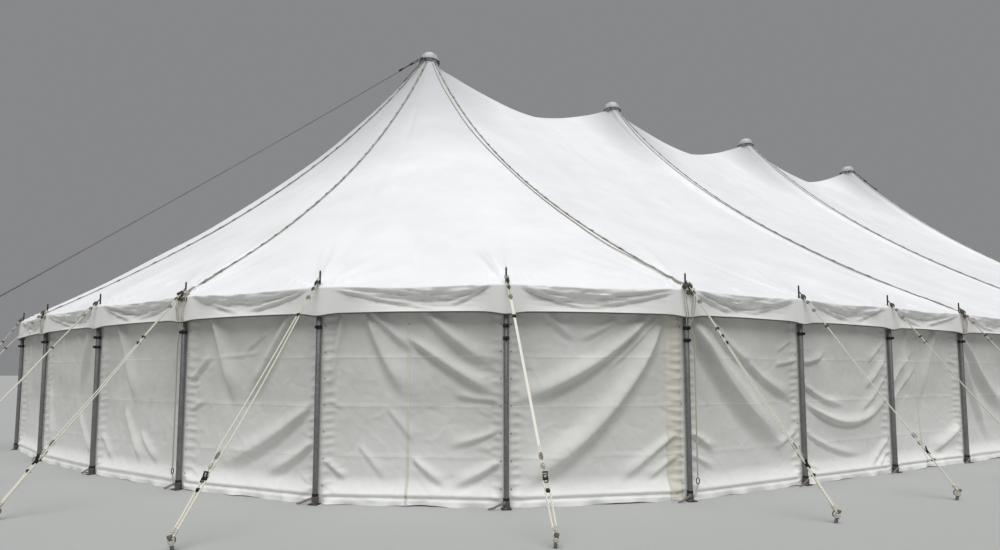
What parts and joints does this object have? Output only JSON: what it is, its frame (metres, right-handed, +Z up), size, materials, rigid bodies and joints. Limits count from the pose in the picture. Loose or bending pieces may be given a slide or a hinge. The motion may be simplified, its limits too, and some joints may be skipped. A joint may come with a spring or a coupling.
{
  "type": "traditional pole marquee",
  "caption": "Large white pole marquee with round ends, peaked laced roof, hanging valance, draped wall curtains, side poles and guys to ground stakes.",
  "frame": {"origin": "on the ground under the middle of the tent, halfway between its end king poles", "axes": "+X along the ridge through the king poles, +Y to the back, +Z up"},
  "size_m": [37.926, 21.0435, 10.1],
  "materials": {
    "roof_canvas": "satin white coated canvas",
    "wall_canvas": "matt off-white canvas",
    "galvanised_steel": "dull galvanised tube",
    "crown_metal": "dark painted steel",
    "guy_rope": "matt cream laid rope"
  },
  "bodies": {
    "root": {"roof_middle_1": "roof_canvas", "roof_middle_2": "roof_canvas", "roof_middle_3": "roof_canvas", "roof_far_gore_1": "roof_canvas", "roof_far_gore_2": "roof_canvas", "roof_far_gore_3": "roof_canvas", "roof_far_gore_4": "roof_canvas", "roof_far_gore_5": "roof_canvas", "roof_near_gore_1": "roof_canvas", "roof_near_gore_2": "roof_canvas", "roof_near_gore_3": "roof_canvas", "roof_near_gore_4": "roof_canvas", "roof_near_gore_5": "roof_canvas", "wall_curtain_front_1": "wall_canvas", "wall_curtain_front_2": "wall_canvas", "wall_curtain_front_3": "wall_canvas", "wall_curtain_far_end_1": "wall_canvas", "wall_curtain_far_end_2": "wall_canvas", "wall_curtain_far_end_3": "wall_canvas", "wall_curtain_far_end_4": "wall_canvas", "wall_curtain_back_1": "wall_canvas", "wall_curtain_back_2": "wall_canvas", "wall_curtain_back_3": "wall_canvas", "wall_curtain_near_end_1": "wall_canvas", "wall_curtain_near_end_2": "wall_canvas", "wall_curtain_near_end_3": "wall_canvas", "wall_curtain_near_end_4": "wall_canvas", "side_poles_front_1": "galvanised_steel", "side_poles_front_2": "galvanised_steel", "side_poles_front_3": "galvanised_steel", "side_poles_far_end_1": "galvanised_steel", "side_poles_far_end_2": "galvanised_steel", "side_poles_far_end_3": "galvanised_steel", "side_poles_far_end_4": "galvanised_steel", "side_poles_back_1": "galvanised_steel", "side_poles_back_2": "galvanised_steel", "side_poles_back_3": "galvanised_steel", "side_poles_near_end_1": "galvanised_steel", "side_poles_near_end_2": "galvanised_steel", "side_poles_near_end_3": "galvanised_steel", "side_poles_near_end_4": "galvanised_steel", "king_pole_1": "galvanised_steel", "king_pole_2": "galvanised_steel", "king_pole_3": "galvanised_steel", "king_pole_4": "galvanised_steel", "crown_1": "crown_metal", "crown_2": "crown_metal", "crown_3": "crown_metal", "crown_4": "crown_metal", "main_guy_near_front": "guy_rope", "main_guy_near_back": "guy_rope", "main_guy_far_front": "guy_rope", "main_guy_far_back": "guy_rope"}
  },
  "joints": []
}
